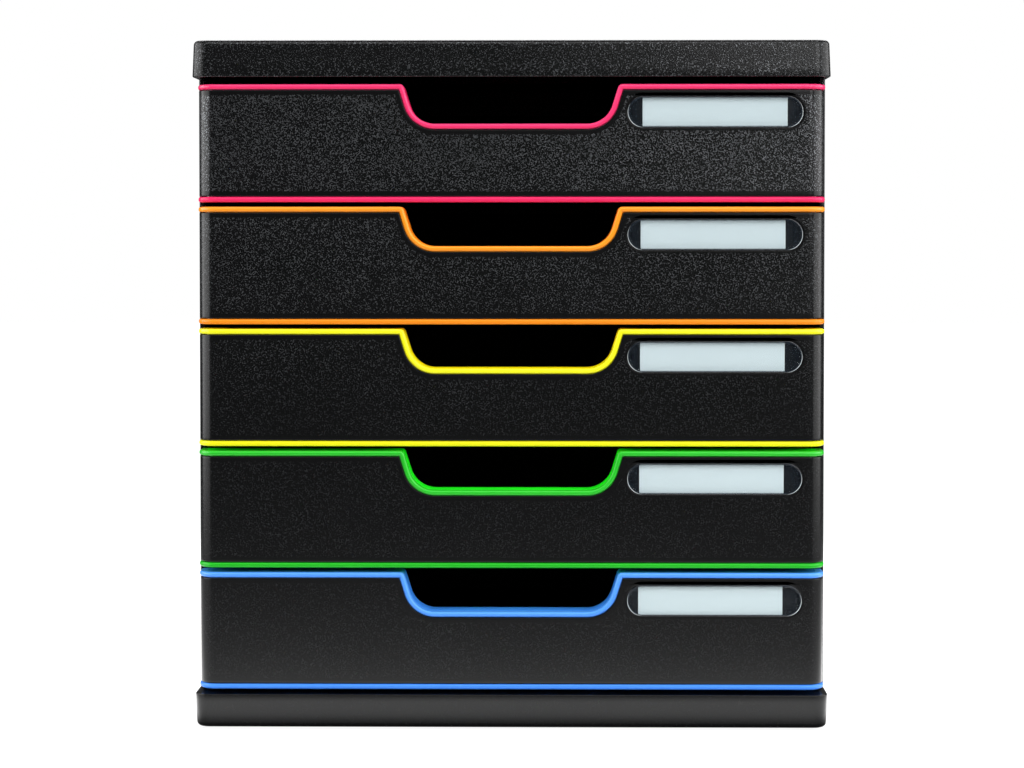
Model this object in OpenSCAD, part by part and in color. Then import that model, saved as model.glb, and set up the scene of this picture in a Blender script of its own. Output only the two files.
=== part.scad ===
// Desktop tower of five closed paper drawers. Each drawer runs on ledges inside
// the case, and its front carries a coloured bead, a finger notch and a label.
// +Z is up, the fronts face -Y, and the origin is on the floor under the middle.

/* [Tower] */
// Width of the lid
tower_w = 290; // [286:1:340]
// Depth of the tower, front to back
tower_d = 350; // [320:1:400]
// Height of the lid
lid_h = 16.6; // [14:0.1:24]
// Height of the base, without its feet
base_h = 15.2; // [13:0.1:24]
// How far the base stands in from the lid all round
base_inset = 0.5; // [0:0.1:0.6]
// Radius of the upright corners of the lid and base
corner_r = 7.5; // [6.5:0.1:12]
// How far the rims of the lid and base lean in over their height
rim_lean = 0.6; // [0.2:0.1:1]
// Radius along the lid's top edge and the base's bottom edge
edge_r = 2.2; // [1:0.1:3.5]
// Radius along the open edge of the lid's rim and the edge of the base's deck
rim_r = 0.5; // [0.2:0.1:1]
// Thickness of the lid's rim at its widest
rim_t = 3.2; // [2.8:0.1:3.3]
// Thickness of the lid's top and of the base's deck
plate_t = 2.5; // [2:0.1:4]
// Thickness of the stiffening ribs and of the rails that hold the panels
rib_t = 1.8; // [1.2:0.1:2.5]
// Depth of the stiffening ribs
rib_h = 6; // [4:0.5:9]

/* [Case panels] */
// Thickness of the side panels
side_t = 2.5; // [2:0.1:3.2]
// How far the panels stand in from the widest part of the lid
side_inset = 1.1; // [1:0.1:1.3]
// How far each side panel turns round onto the back
return_w = 16; // [13:0.5:30]
// Thickness of the back panel
back_t = 1.8; // [1.5:0.1:2.5]
// Width of the frame around the back panel's sunken field
back_frame = 14; // [8:0.5:30]
// Depth of the back panel's sunken field
back_sink = 0.6; // [0.3:0.1:0.8]
// Width of the ledges that carry the drawers
ledge_w = 4.5; // [3:0.1:6]
// Thickness of the ledges
ledge_t = 2; // [1.5:0.1:3]
// Length of the tongues that hold the panels in the lid and base
tongue_l = 30; // [20:1:50]
// Thickness of the side panels' tongues
tongue_t = 1.8; // [1.4:0.1:2]
// Reach of the tongues into the lid and base
tongue_h = 8; // [5:0.5:9]
// Distance from the middle of the end tongues to the front and back
tongue_inset = 65; // [50:1:100]

/* [Drawer fronts] */
// Height of a drawer front
front_h = 53.4; // [50:0.1:80]
// Gap between two fronts
front_gap = 2.1; // [1:0.1:3]
// Gap between the lowest front and the base
base_gap = 2.2; // [1:0.1:4]
// Gap between the top front and the lid
lid_gap = 3.3; // [1:0.1:5]
// How far the fronts stand back from the front of the lid
front_setback = 1.6; // [0.5:0.1:4]
// How far the ends of a front stand in from the side of the lid
front_inset = 2; // [1.5:0.1:3]
// Depth of the coloured trim, and of the shelf it makes in the notch
trim_d = 18.4; // [15:0.1:24]
// Width of the bend at each end of a front, seen from above
bend_w = 8; // [7.5:0.1:9]
// Depth of the bend at each end of a front, seen from above
bend_d = 11; // [9:0.1:14]
// Height of the coloured beads
bead_h = 2.4; // [2:0.1:3.5]
// How far the beads stand proud of the fascia
bead_proud = 0.4; // [0.1:0.1:0.8]
// Thickness of the trim's web behind the fascia
web_t = 1.6; // [1.2:0.1:2]
// Thickness of the fascia
fascia_t = 2.4; // [2.2:0.1:2.8]
// Width of the clips that hold the fascia to the trim and the trim to the tray
clip_w = 8; // [5:0.5:12]
// Thickness of the clips
clip_t = 1.6; // [1.2:0.1:2.4]
// Distance from the outer fascia clips to the ends of the front
clip_inset = 30; // [24:1:40]
// Distance between a fascia clip and the tray post beside it
post_step = 15; // [13:1:20]

/* [Finger notch] */
// Width of the notch at its mouth
notch_w = 98; // [80:1:102]
// Depth of the notch
notch_d = 17.9; // [15:0.1:22]
// Lean of the notch's sides, in degrees
notch_lean = 17.5; // [5:0.5:25]
// Radius of the notch's lower corners
notch_r = 12; // [6:0.5:13]
// Radius of the corners at the notch's mouth
mouth_r = 2; // [1:0.1:3]

/* [Trays] */
// Thickness of a tray's walls and floor
tray_t = 2; // [1.6:0.1:3]
// Radius of a tray's upright corners
tray_r = 5; // [4:0.5:10]
// How far the tray's front wall hides behind the edge of the trim
wall_inset = 0.6; // [0.3:0.1:1]

/* [Labels] */
// Distance from the notch's mouth to the window
label_gap = 3.8; // [1.5:0.1:20]
// Height of the label window
label_h = 14.3; // [10:0.1:18]
// Distance from the window to the end of the front
label_margin = 10.7; // [9:0.1:12]
// Distance from the top of the front to the middle of the window
label_drop = 12.6; // [11:0.1:20]
// Depth of the pocket in the fascia
pocket_d = 1.5; // [1.2:0.1:1.7]
// How far the window stands proud of the fascia
window_proud = 0.3; // [0.1:0.1:0.6]
// Distance from each end of the window to the card's place
card_end = 6.95; // [6.5:0.05:12]
// How far each card has slid from its place, from the top drawer down
card_shift = [-0.1, -0.9, -1.1, -1.4, -1.8]; // [-2:0.1:2]
// Room under the window at each end of the card's place
card_play = 2.4; // [2.3:0.1:3]
// Height of the card
card_h = 13.4; // [8:0.1:13.8]
// Thickness of the card
card_t = 0.3; // [0.2:0.05:0.4]

/* [Feet] */
// Diameter of the rubber feet
foot_d = 14; // [10:0.5:20]
// How far the feet stand below the base
foot_stand = 1; // [0.5:0.1:3]
// Depth of the cups that hold the feet
cup_depth = 1.5; // [1:0.1:3]
// Wall around each cup
cup_wall = 2.4; // [1.6:0.1:4]
// Distance from a foot's middle to the side and to the front or back
foot_inset = 20; // [16:0.5:40]

/* [Fits] */
// Clearance between pieces that clip or slide together
seat_gap = 0.2; // [0.1:0.05:0.3]
// Clearance between a tray and the ledge under it
run_gap = 0.3; // [0.2:0.05:0.5]
// Clearance between a tray and the side panels
side_gap = 1.4; // [0.8:0.1:2]
// Clearance between a tray and the ledge above it
head_gap = 3; // [1.5:0.1:5]
// Clearance between a closed tray and the back panel
rear_gap = 0.9; // [0.5:0.1:3]
// Clearance between a closed drawer's front wall and the side panels' edges
stop_gap = 0.4; // [0.3:0.1:1]
// Groove between a bead and the fascia
groove = 0.3; // [0.2:0.05:0.5]

/* [Hidden] */
// Colours, with one trim colour for each drawer from the top down
case_colour = "#1c1d20";
tray_colour = "#141416";
fascia_colour = "#232427";
card_colour = "#d6e0e2";
window_colour = [0.75, 0.8, 0.85, 0.35];
rubber_colour = "#0d0d0e";
trim_colours = ["#f64272", "#fd9e30", "#fbf22a", "#46cc38", "#5c9bf4"];
drawers = len(trim_colours);
drawer_pieces = ["tray", "trim", "fascia", "label_card", "label_window"];
$fn = 32;

// Heights
base_top = foot_stand + base_h;
pitch = front_h + front_gap;
lid_z = base_top + base_gap + drawers * pitch - front_gap + lid_gap;
tray_h = pitch - ledge_t - run_gap - head_gap;
function front_z(i) = base_top + base_gap + (drawers - i) * pitch;
function tray_z(i) = front_z(i) + ledge_t + run_gap;

// Case, measured from the middle outwards
cavity_x = tower_w / 2 - rim_t;
cavity_y = tower_d / 2 - rim_t;
side_x = tower_w / 2 - side_inset;
side_in = side_x - side_t;
side_back = tower_d / 2 - side_inset;
side_r = corner_r - side_inset;
back_y = side_back - side_t - seat_gap;
back_x = side_in - (side_r - side_t) - seat_gap;
tongue_places = [-tower_d / 2 + tongue_inset, 0, tower_d / 2 - tongue_inset];
back_tongue_places = [-tower_w / 3, tower_w / 3];
rib_places_x = [-tower_w / 5, tower_w / 5];
rib_places_y = [-tower_d / 6, tower_d / 6];

// Drawers
front_w = tower_w - 2 * front_inset;
front_y = -tower_d / 2 + front_setback;
fascia_y = front_y + bead_proud;
web_inset = bead_proud + fascia_t + seat_gap;
tray_front = front_y + trim_d;
tray_back = back_y - back_t - rear_gap;
tray_x = side_in - side_gap;
side_front = tray_front + tray_t + stop_gap;
notch_corner = [
    -notch_w / 2 + (notch_r + sin(notch_lean) * (notch_d - notch_r)) / cos(notch_lean),
    notch_r - notch_d,
];
below_notch = -(notch_d + front_h) / 2;
outer_clip = front_w / 2 - clip_inset;
inner_clip = notch_w / 4;
fascia_clips = [
    [-outer_clip, -front_h / 2], [-inner_clip, below_notch],
    [inner_clip, below_notch], [outer_clip, -front_h / 2],
];
trim_posts = [for (x = [
    post_step - outer_clip, -inner_clip - post_step, inner_clip + post_step, outer_clip - post_step
]) [x, below_notch]];

// Labels
label_w = front_w / 2 - label_margin - notch_w / 2 - label_gap;
label_x = front_w / 2 - label_margin - label_w / 2;
card_w = label_w - 2 * card_end;
pocket_y = fascia_y + pocket_d;
over = 1;
slice_t = 0.01;

// ---- Shared shapes ----

module rounded_rect(w, d, r) {
    square([w - 2 * r, d], center = true);
    square([w, d - 2 * r], center = true);
    for (sx = [-1, 1], sy = [-1, 1])
        translate([sx * (w / 2 - r), sy * (d / 2 - r)]) circle(r);
}

module pill(w, h) {
    square([w - h, h], center = true);
    for (s = [-1, 1]) translate([s * (w - h) / 2, 0]) circle(h / 2);
}

module block_slice(z, inset) {
    translate([0, 0, z]) linear_extrude(slice_t)
        rounded_rect(tower_w - 2 * inset, tower_d - 2 * inset, corner_r - inset);
}

// Block drawn in by p, with its wide rim at the bottom: the sides lean in and roll over
// the top edge
module rimmed_block(h, p = 0) {
    hull() {
        block_slice(0, p + rim_r);
        block_slice(rim_r, p);
        for (a = [0 : 15 : 90])
            block_slice(h - slice_t - edge_r * (1 - sin(a)), p + rim_lean + edge_r * (1 - cos(a)));
    }
}

// Ribs under a plate, from its underside at the height z down, out to the places given
module plate_ribs(z, x_end, y_end) {
    for (x = rib_places_x)
        translate([x - rib_t / 2, -cavity_y - over, z - rib_h])
            cube([rib_t, cavity_y + over + y_end, rib_h + over]);
    for (y = rib_places_y)
        translate([-x_end, y - rib_t / 2, z - rib_h]) cube([2 * x_end, rib_t, rib_h + over]);
}

// ---- Outline of a drawer front ----

function arc(c, r, a0, a1, n) =
    [for (k = [0 : n]) let (a = a0 + (a1 - a0) * k / n) c + r * [cos(a), sin(a)]];

function flipped(points) =
    [for (k = [len(points) - 1 : -1 : 0]) [-points[k][0], points[k][1]]];

// Left half of the notch, from its mouth to its floor, moved into the front by e
function notch_half(e) =
    let (r = max(mouth_r - e, groove), m = e + r)
    concat(
        arc([-notch_w / 2 - m * (1 - sin(notch_lean)) / cos(notch_lean), -m], r, 90, notch_lean, 4),
        arc(notch_corner, notch_r + e, 180 + notch_lean, 270, 10)
    );

module notch(e) {
    half = notch_half(e);
    polygon(concat([[half[0][0], over]], half, flipped(half), [[-half[0][0], over]]));
}

// Front seen face on, drawn in by e at its top, bottom and notch and by p at its ends;
// its top is at 0
module front_face(e, p = 0) {
    difference() {
        translate([0, -front_h / 2]) square([front_w - 2 * p, front_h - 2 * e], center = true);
        notch(e);
    }
}

// Front seen from above, drawn in by p at its face and ends, as far as y_end
module front_plan(p, y_end = tray_front) {
    bend = [for (k = [0 : 10]) let (a = -90 + 9 * k)
        [front_w / 2 - bend_w + (bend_w - p) * cos(a), front_y + bend_d + (bend_d - p) * sin(a)]];
    back = [[front_w / 2 - p, y_end]];
    polygon(concat(flipped(concat(bend, back)), bend, back));
}

module stand_up(i, y) {
    translate([0, y, front_z(i) + front_h]) rotate([90, 0, 0]) children();
}

// Solid front, drawn in by e face on and by p from above
module front_solid(i, e, p) {
    intersection() {
        stand_up(i, tray_front) linear_extrude(trim_d) front_face(e);
        translate([0, 0, front_z(i)]) linear_extrude(front_h) front_plan(p);
    }
}

// Bars that run front to back through a front, such as its clips
module front_bars(i, places, w, h, y0, y1) {
    for (p = places)
        translate([p[0] - w / 2, y0, front_z(i) + front_h + p[1] - h / 2]) cube([w, y1 - y0, h]);
}

// ---- Case ----

module lid() {
    ceiling = lid_h - plate_t;
    rail_h = ceiling - rib_t;
    rail_x = side_in - tongue_t - seat_gap - rib_t;
    rail_y = back_y - back_t - seat_gap - rib_t;
    color(case_colour) translate([0, 0, lid_z]) {
        difference() {
            rimmed_block(lid_h);
            translate([0, 0, -over]) linear_extrude(ceiling + over)
                rounded_rect(2 * cavity_x, 2 * cavity_y, corner_r - rim_t);
        }
        plate_ribs(ceiling, rail_x + rib_t / 2, rail_y + rib_t / 2);
        for (x = [-rail_x - rib_t, rail_x])
            translate([x, -rail_y, rib_t]) cube([rib_t, 2 * rail_y + rib_t, rail_h + over]);
        translate([-rail_x, rail_y, rib_t]) cube([2 * rail_x, rib_t, rail_h + over]);
    }
}

module base() {
    deck = base_top - plate_t;
    color(case_colour) {
        difference() {
            translate([0, 0, base_top]) mirror([0, 0, 1]) rimmed_block(base_h, base_inset);
            translate([0, 0, foot_stand - over]) linear_extrude(deck - foot_stand + over)
                rounded_rect(2 * cavity_x, 2 * cavity_y, corner_r - rim_t);
            for (s = [-1, 1], y = tongue_places)
                translate([s * (side_in - tongue_t / 2), y, deck])
                    cube([tongue_t, tongue_l, 4 * plate_t] + 2 * [seat_gap, seat_gap, 0], center = true);
            for (x = back_tongue_places)
                translate([x, back_y - back_t / 2, deck])
                    cube([tongue_l, back_t, 4 * plate_t] + 2 * [seat_gap, seat_gap, 0], center = true);
        }
        plate_ribs(deck, cavity_x + over, cavity_y + over);
        for (sx = [-1, 1], sy = [-1, 1])
            translate([sx * (tower_w / 2 - foot_inset), sy * (tower_d / 2 - foot_inset), foot_stand])
                difference() {
                    cylinder(h = base_h - plate_t + slice_t, d = foot_d + 2 * (seat_gap + cup_wall));
                    translate([0, 0, -over]) cylinder(h = cup_depth + over, d = foot_d + 2 * seat_gap);
                }
    }
}

module rubber_feet() {
    color(rubber_colour) for (sx = [-1, 1], sy = [-1, 1])
        translate([sx * (tower_w / 2 - foot_inset), sy * (tower_d / 2 - foot_inset), 0])
            cylinder(h = foot_stand + cup_depth, d = foot_d);
}

// The right side panel seen from above: wall, rear corner and return
module side_plan() {
    difference() {
        intersection() {
            rounded_rect(2 * side_x, 2 * side_back, side_r);
            translate([side_x - return_w, side_front])
                square([return_w + over, side_back - side_front + over]);
        }
        rounded_rect(2 * side_in, 2 * (side_back - side_t), side_r - side_t);
    }
}

module side_panel() {
    color(case_colour) {
        translate([0, 0, base_top]) linear_extrude(lid_z - base_top) side_plan();
        for (i = [1 : drawers])
            translate([side_in - ledge_w, side_front, front_z(i)])
                cube([ledge_w + side_t / 2, back_y - back_t - seat_gap - side_front, ledge_t]);
        for (y = tongue_places) translate([side_in - tongue_t, y - tongue_l / 2, 0]) {
            translate([0, 0, lid_z - lid_gap]) cube([tongue_t, tongue_l, lid_gap + tongue_h]);
            translate([0, 0, lid_z - lid_gap]) cube([tongue_t + side_t / 2, tongue_l, lid_gap]);
            translate([0, 0, base_top - tongue_h])
                cube([tongue_t, tongue_l, tongue_h + base_gap + ledge_t / 2]);
        }
    }
}

module back_panel() {
    height = lid_z + tongue_h - base_top;
    field_h = lid_z - base_top - 2 * back_frame;
    color(case_colour) difference() {
        union() {
            translate([-back_x, back_y - back_t, base_top]) cube([2 * back_x, back_t, height]);
            for (x = back_tongue_places)
                translate([x - tongue_l / 2, back_y - back_t, base_top - tongue_h])
                    cube([tongue_l, back_t, tongue_h + over]);
        }
        translate([0, back_y + over, base_top + back_frame + field_h / 2]) rotate([90, 0, 0])
            linear_extrude(back_sink + over)
                rounded_rect(2 * (side_x - return_w - back_frame), field_h, corner_r);
    }
}

// ---- Drawers, numbered from the top ----

module drawer_tray(i) {
    tray_l = tray_back - tray_front;
    color(tray_colour) difference() {
        union() {
            translate([0, tray_front + tray_l / 2, tray_z(i)])
                linear_extrude(tray_h) rounded_rect(2 * tray_x, tray_l, tray_r);
            stand_up(i, tray_front + tray_t) linear_extrude(tray_t)
                front_face(wall_inset, wall_inset);
        }
        translate([0, tray_front + tray_l / 2, tray_z(i) + tray_t])
            linear_extrude(tray_h) rounded_rect(2 * (tray_x - tray_t), tray_l - 2 * tray_t, tray_r - tray_t);
        stand_up(i, tray_front + tray_r) linear_extrude(tray_r + over) notch(wall_inset);
        front_bars(i, trim_posts, clip_w + 2 * seat_gap, clip_t + 2 * seat_gap,
            tray_front - over, tray_front + tray_t + over);
    }
}

module drawer_trim(i) {
    color(trim_colours[i - 1]) {
        difference() {
            front_solid(i, 0, 0);
            difference() {
                stand_up(i, tray_front + over) linear_extrude(trim_d + 2 * over)
                    front_face(bead_h, -over);
                front_web(i);
            }
        }
        front_bars(i, trim_posts, clip_w, clip_t,
            front_y + web_inset + web_t / 2, tray_front + tray_t - seat_gap);
    }
}

// The thin wall behind the fascia that ties the beads together
module front_web(i) {
    difference() {
        translate([0, 0, front_z(i)]) linear_extrude(front_h) difference() {
            front_plan(web_inset);
            front_plan(web_inset + web_t, tray_front + over);
        }
        front_bars(i, fascia_clips, clip_w + 2 * seat_gap, clip_t + 2 * seat_gap,
            front_y, front_y + web_inset + web_t + over);
    }
}

module drawer_fascia(i) {
    color(fascia_colour) {
        difference() {
            front_solid(i, bead_h + groove, bead_proud);
            translate([0, 0, front_z(i)]) linear_extrude(front_h)
                front_plan(bead_proud + fascia_t, tray_front + over);
            label_place(i, pocket_y) linear_extrude(pocket_d + over)
                pill(label_w + 2 * seat_gap, label_h + 2 * seat_gap);
        }
        front_bars(i, fascia_clips, clip_w, clip_t,
            fascia_y + fascia_t / 2, front_y + web_inset + web_t + over);
    }
}

// Middle of the label, facing forwards, at the depth y
module label_place(i, y) {
    translate([label_x, y, front_z(i) + front_h - label_drop]) rotate([90, 0, 0]) children();
}

module drawer_label_card(i) {
    color(card_colour) label_place(i, pocket_y) translate([card_shift[i - 1], 0, 0])
        linear_extrude(card_t) square([card_w, card_h], center = true);
}

module drawer_label_window(i) {
    space = card_t + seat_gap;
    color(window_colour) label_place(i, pocket_y) difference() {
        linear_extrude(pocket_d + window_proud) pill(label_w, label_h);
        translate([0, 0, -over]) linear_extrude(space + over)
            square([card_w + 2 * card_play, label_h + over], center = true);
    }
}

lid();
base();
mirror([1, 0, 0]) side_panel();  // left_side_panel
side_panel();  // right_side_panel
back_panel();
rubber_feet();
for (i = [1 : drawers]) {
    drawer_tray(i);
    drawer_trim(i);
    drawer_fascia(i);
    drawer_label_card(i);
    drawer_label_window(i);
}
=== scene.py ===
from bisect import bisect_right
from math import acos, cos, hypot, pi, radians, sin

import bmesh
import bpy
from bpy.props import FloatProperty, FloatVectorProperty
from mathutils import Matrix, Vector


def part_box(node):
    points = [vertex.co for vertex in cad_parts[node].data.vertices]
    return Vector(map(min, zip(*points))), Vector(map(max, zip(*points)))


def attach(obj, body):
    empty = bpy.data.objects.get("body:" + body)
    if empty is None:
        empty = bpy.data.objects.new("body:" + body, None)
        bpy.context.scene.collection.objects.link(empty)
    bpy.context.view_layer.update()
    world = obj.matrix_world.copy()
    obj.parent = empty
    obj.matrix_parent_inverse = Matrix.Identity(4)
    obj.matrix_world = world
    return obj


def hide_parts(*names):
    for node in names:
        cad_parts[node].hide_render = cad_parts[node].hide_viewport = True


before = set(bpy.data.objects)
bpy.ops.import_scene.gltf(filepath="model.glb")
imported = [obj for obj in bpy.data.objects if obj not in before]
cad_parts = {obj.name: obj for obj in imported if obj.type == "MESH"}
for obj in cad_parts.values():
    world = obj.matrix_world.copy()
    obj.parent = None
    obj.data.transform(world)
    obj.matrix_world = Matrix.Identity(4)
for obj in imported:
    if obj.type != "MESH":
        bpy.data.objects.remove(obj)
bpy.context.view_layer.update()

bl_info = {
    "name": "Drawer Tower",
    "version": (1, 0, 0),
    "blender": (4, 5, 0),
    "location": "View3D > Sidebar > Drawer Tower",
    "description": "Dresses a desktop tower of sliding paper drawers around its CAD frame",
    "category": "Object",
}

# ---- Sizes, in metres ----

MM = 0.001
DRAWERS = 5

# What the frame says
LID_LOW, LID_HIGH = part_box("lid")
BASE_LOW, BASE_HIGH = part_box("base")
SIDE_LOW, SIDE_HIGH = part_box("right_side_panel")
BACK_LOW, BACK_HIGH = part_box("back_panel")
FOOT_LOW, FOOT_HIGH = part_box("rubber_feet")
TRIM_LOW, TRIM_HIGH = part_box("drawer_1_trim")
FASCIA_LOW, FASCIA_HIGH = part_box("drawer_1_fascia")
TRAY_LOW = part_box("drawer_1_tray")[0]
CARD_LOW, CARD_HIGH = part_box("drawer_1_label_card")
WINDOW_LOW, WINDOW_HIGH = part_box("drawer_1_label_window")
TOWER_W = LID_HIGH.x - LID_LOW.x
TOWER_D = LID_HIGH.y - LID_LOW.y
BASE_INSET = BASE_LOW.x - LID_LOW.x
FRONT_W = TRIM_HIGH.x - TRIM_LOW.x
FRONT_H = TRIM_HIGH.z - TRIM_LOW.z
FRONT_Y = TRIM_LOW.y
FRONT_D = TRAY_LOW.y - TRIM_LOW.y
BEAD_PROUD = FASCIA_LOW.y - TRIM_LOW.y
FASCIA_INSET = TRIM_HIGH.z - FASCIA_HIGH.z

# Fronts
BEND_W = 8 * MM
BEND_D = 11 * MM
BEAD_H = 2.4 * MM
BEAD_D = 4 * MM
FASCIA_T = 2.4 * MM
WEB_T = 1.6 * MM
NOTCH_W = 98 * MM
NOTCH_D = 17.9 * MM
NOTCH_LEAN = radians(17.5)
NOTCH_R = 12 * MM
MOUTH_R = 2 * MM
SHARPEST_R = 0.3 * MM

# Case
CORNER_R = 7.5 * MM
RIM_LEAN = 0.6 * MM
RIM_R = 0.5 * MM
EDGE_R = 2.2 * MM
RIM_T = 3.2 * MM
PLATE_T = 2.5 * MM
RIB_T = 1.8 * MM
RIB_H = 6 * MM
BAR_R = 0.3 * MM
RIB_X = TOWER_W / 5
RIB_Y = TOWER_D / 6
SIDE_T = 2.5 * MM
SIDE_INSET = 1.1 * MM
SIDE_IN = SIDE_HIGH.x - SIDE_T
RETURN_W = 16 * MM
LEDGE_W = 4.5 * MM
LEDGE_T = 2 * MM
LEDGE_R = 0.4 * MM
LEDGE_BACK = 1 * MM
BACK_FRAME = 14 * MM
BACK_SINK = 0.6 * MM
TONGUE_H = 8 * MM
TONGUE_T = 1.8 * MM
TONGUE_L = 30 * MM
TONGUE_INSET = 65 * MM
TONGUE_ROOT = 2 * MM
BACK_TONGUE_X = TOWER_W / 3
SEAT_GAP = 0.2 * MM

# Trays and labels
TRAY_T = 2 * MM
TRAY_R = 5 * MM
TRAY_INSET = 1.4 * MM + SIDE_T + SIDE_INSET
WALL_INSET = 0.6 * MM
FLOOR_GAP = 0.3 * MM
RIM_GAP = 3 * MM
POCKET_D = 1.5 * MM
CARD_T = CARD_HIGH.y - CARD_LOW.y
CARD_PLAY = 2.4 * MM
LUG_W = 0.9 * MM
LUG_H = 2.2 * MM

# Feet
FOOT_D = 14 * MM
CUP_DEPTH = 1.5 * MM
CUP_WALL = 2.4 * MM


def front_z(i):
    """Height of the bottom of front i, counted from the top."""
    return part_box(f"drawer_{i}_trim")[0].z


PITCH = front_z(1) - front_z(2)

# ---- Outline of a drawer front: (s, z) along and up the front, inset by e ----


def arc_points(centre, r, start, end, steps):
    """Points of an arc between two angles, both ends included."""
    turns = [start + (end - start) * k / steps for k in range(steps + 1)]
    return [(centre[0] + r * cos(a), centre[1] + r * sin(a)) for a in turns]


def notch_half(e):
    """Left half of the notch, from its mouth down to its floor; the front's top is at z = 0."""
    r = max(MOUTH_R - e, SHARPEST_R)
    m = e + r
    mouth = (-NOTCH_W / 2 - m * (1 - sin(NOTCH_LEAN)) / cos(NOTCH_LEAN), -m)
    foot = (-NOTCH_W / 2 + (NOTCH_R + sin(NOTCH_LEAN) * (NOTCH_D - NOTCH_R)) / cos(NOTCH_LEAN),
            NOTCH_R - NOTCH_D)
    return (arc_points(mouth, r, pi / 2, NOTCH_LEAN, 8)
            + arc_points(foot, NOTCH_R + e, pi + NOTCH_LEAN, pi * 3 / 2, 20))


def notch_line(e):
    """The whole notch, from its left mouth to its right."""
    half = notch_half(e)
    return half + [(-s, z) for s, z in reversed(half)]


class Wrap:
    """Bends flat (s, z, depth) points round the ends of a front, as seen from above."""

    STEPS = 96

    def __init__(self):
        self.flat = FRONT_W / 2 - BEND_W
        turns = [pi / 2 * k / self.STEPS for k in range(self.STEPS + 1)]
        bend = [(BEND_W * sin(a), BEND_D * (1 - cos(a))) for a in turns]
        self.lengths = [0.0]
        for (x0, y0), (x1, y1) in zip(bend, bend[1:]):
            self.lengths.append(self.lengths[-1] + hypot(x1 - x0, y1 - y0))
        self.bend_end = self.flat + self.lengths[-1]
        self.end = self.bend_end + FRONT_D - BEND_D

    def turn_at(self, along):
        """Angle of the bend at a length along it."""
        k = min(bisect_right(self.lengths, along), self.STEPS) - 1
        span = self.lengths[k + 1] - self.lengths[k]
        return pi / 2 * (k + (along - self.lengths[k]) / span) / self.STEPS

    def point(self, s, z, depth):
        """Where a point lies that is s along the front, at the height z and depth behind its face."""
        side, s = (-1 if s < 0 else 1), abs(s)
        if s <= self.flat:
            return Vector((side * s, FRONT_Y + depth, z))
        if s >= self.bend_end:
            return Vector((side * (FRONT_W / 2 - depth), FRONT_Y + BEND_D + s - self.bend_end, z))
        a = self.turn_at(s - self.flat)
        out = Vector((sin(a) / BEND_W, -cos(a) / BEND_D)).normalized()
        x = self.flat + BEND_W * sin(a) - depth * out.x
        return Vector((side * x, FRONT_Y + BEND_D * (1 - cos(a)) - depth * out.y, z))

    def stations(self, end):
        """Places along a bent end, from the flat of the face out to end."""
        steps = 20
        bend = [self.flat + (self.bend_end - self.flat) * k / steps for k in range(steps + 1)]
        return [s for s in bend if s < end] + [end]


WRAP = Wrap()

# ---- Mesh helpers ----


def new_object(name, bm, material, smooth_angle=35):
    """Closes bm into an object at the origin, with smooth faces between its sharp edges."""
    bmesh.ops.remove_doubles(bm, verts=bm.verts, dist=1e-7)
    bmesh.ops.recalc_face_normals(bm, faces=bm.faces)
    mesh = bpy.data.meshes.new(name)
    bm.to_mesh(mesh)
    bm.free()
    for polygon in mesh.polygons:
        polygon.use_smooth = True
    mesh.set_sharp_from_angle(angle=radians(smooth_angle))
    mesh.materials.append(material)
    piece = bpy.data.objects.new(name, mesh)
    bpy.context.scene.collection.objects.link(piece)
    return piece


def add_rings(bm, rings, cap=True):
    """Skins a list of closed rings of points, and caps the first and last.

    Returns the loops of vertices."""
    loops = [[bm.verts.new(p) for p in ring] for ring in rings]
    for a, b in zip(loops, loops[1:]):
        for k in range(len(a)):
            n = (k + 1) % len(a)
            bm.faces.new((a[k], a[n], b[n], b[k]))
    if cap:
        bm.faces.new(loops[0])
        bm.faces.new(list(reversed(loops[-1])))
    return loops


def add_strips(bm, lines):
    """Skins a closed tube whose length runs along open lines of points, and caps its ends.

    Returns the rows of vertices."""
    rows = [[bm.verts.new(p) for p in line] for line in lines]
    for a, b in zip(rows, rows[1:] + rows[:1]):
        for k in range(len(a) - 1):
            bm.faces.new((a[k], a[k + 1], b[k + 1], b[k]))
    bm.faces.new([row[0] for row in rows])
    bm.faces.new([row[-1] for row in reversed(rows)])
    return rows


def rounded_ring(w, d, r, z, steps=10):
    """Closed ring of a rectangle with round corners, about the origin at the height z."""
    ring = []
    for k, (sx, sy) in enumerate(((1, 1), (-1, 1), (-1, -1), (1, -1))):
        centre = (sx * (w / 2 - r), sy * (d / 2 - r))
        ring += arc_points(centre, r, k * pi / 2, (k + 1) * pi / 2, steps)
    return [Vector((x, y, z)) for x, y in ring]


def eased(e, z, de, dz, steps=4, back=False):
    """Points of a quarter round from (e, z + dz) to (e + de, z), or back from its end."""
    turns = [pi / 2 * k / steps for k in range(steps + 1)]
    points = [(e + de * (1 - cos(a)), z + dz * (1 - sin(a))) for a in turns]
    return points[::-1] if back else points


def add_box(bm, low, high):
    low, high = Vector(low), Vector(high)
    made = bmesh.ops.create_cube(bm, size=1)
    bmesh.ops.scale(bm, vec=high - low, verts=made["verts"])
    bmesh.ops.translate(bm, vec=(low + high) / 2, verts=made["verts"])


def bar(low, high, r=BAR_R):
    """Mesh of a box with rounded edges."""
    bm = bmesh.new()
    add_box(bm, low, high)
    bmesh.ops.bevel(bm, geom=list(bm.edges), offset=r, segments=3, profile=0.5, affect="EDGES",
                    clamp_overlap=True)
    return bm


def skinned(name, rings, material):
    """Closed object through a list of rings of points."""
    bm = bmesh.new()
    add_rings(bm, rings)
    return new_object(name, bm, material)


def joined(name, pieces, material):
    """One object from several meshes, each of them closed."""
    bm = bmesh.new()
    for piece in pieces:
        bm.from_mesh(piece.data)
        bpy.data.objects.remove(piece, do_unlink=True)
    return new_object(name, bm, material)


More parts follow.
